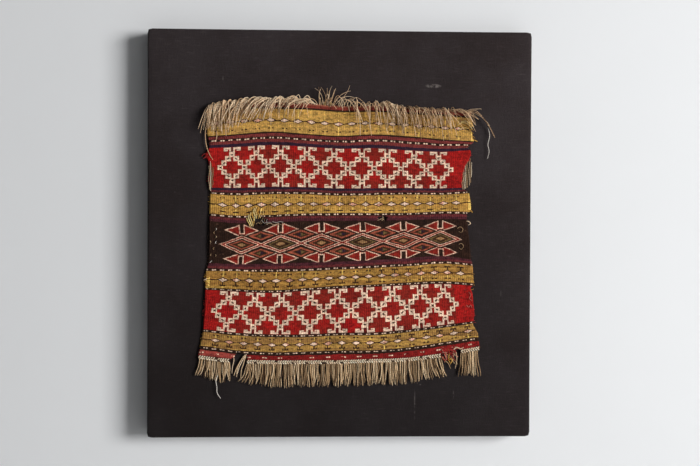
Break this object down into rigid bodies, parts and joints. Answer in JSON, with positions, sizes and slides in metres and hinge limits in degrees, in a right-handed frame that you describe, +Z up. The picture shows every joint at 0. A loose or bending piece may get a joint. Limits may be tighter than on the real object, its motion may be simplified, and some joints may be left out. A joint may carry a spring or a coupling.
{
  "type": "flatwoven textile fragment on a linen-covered strainer panel",
  "caption": "Worn banded flatweave fragment with fringed ends, stitched to dark linen stretched over a wooden strainer that hangs flat on a wall.",
  "frame": {"origin": "on the wall plane, in the middle of the linen turned over the back of the top strainer bar, 14 mm below the panel's top corners", "axes": "+Z up the panel, +X to the viewer's right, -Y out of the woven face, +Y into the wall"},
  "size_m": [0.56, 0.0429, 0.594],
  "materials": {
    "linen": "dark brown-black plain-woven linen, matt, with slubs and faint pale scuffs",
    "pine": "planed bare softwood",
    "weaving": "weft-faced wool flatweave in bands of madder red, ochre, maroon and near-black with off-white brocading, worn",
    "warp_yarn": "loosely twisted undyed wool and goat-hair warp ends"
  },
  "bodies": {
    "root": {"linen_cover": "linen", "strainer_top": "pine", "strainer_bottom": "pine", "strainer_left": "pine", "strainer_right": "pine", "woven_fragment": "weaving", "fringe_upper": "warp_yarn", "fringe_lower_left": "warp_yarn", "fringe_lower_middle": "warp_yarn", "fringe_lower_right": "warp_yarn"}
  },
  "joints": []
}
